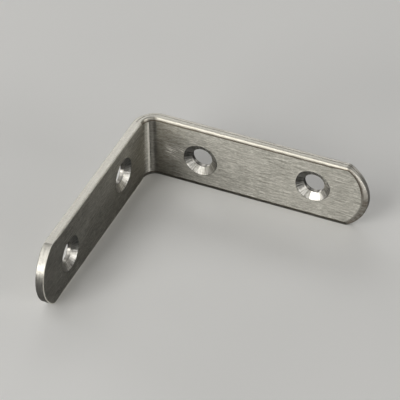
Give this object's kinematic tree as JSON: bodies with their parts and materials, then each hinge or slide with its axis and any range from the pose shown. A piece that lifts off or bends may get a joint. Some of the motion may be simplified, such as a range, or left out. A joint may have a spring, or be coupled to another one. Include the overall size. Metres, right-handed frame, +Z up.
{
  "type": "corner brace bracket",
  "caption": "Small right-angle corner brace folded from one strip of brushed stainless steel, with rounded leg tips and staggered countersunk screw holes.",
  "frame": {"origin": "on the standing plane, at the middle of the overall outline seen from above", "axes": "+Z up, across the strip's width; one leg runs along X with its back face towards +Y; the other runs along Y with its back face towards -X; the fold is at -X +Y"},
  "size_m": [0.05, 0.05, 0.015],
  "materials": {
    "brushed_stainless": "brushed along each leg, satin"
  },
  "bodies": {
    "root": {"corner_brace": "brushed_stainless"}
  },
  "joints": []
}
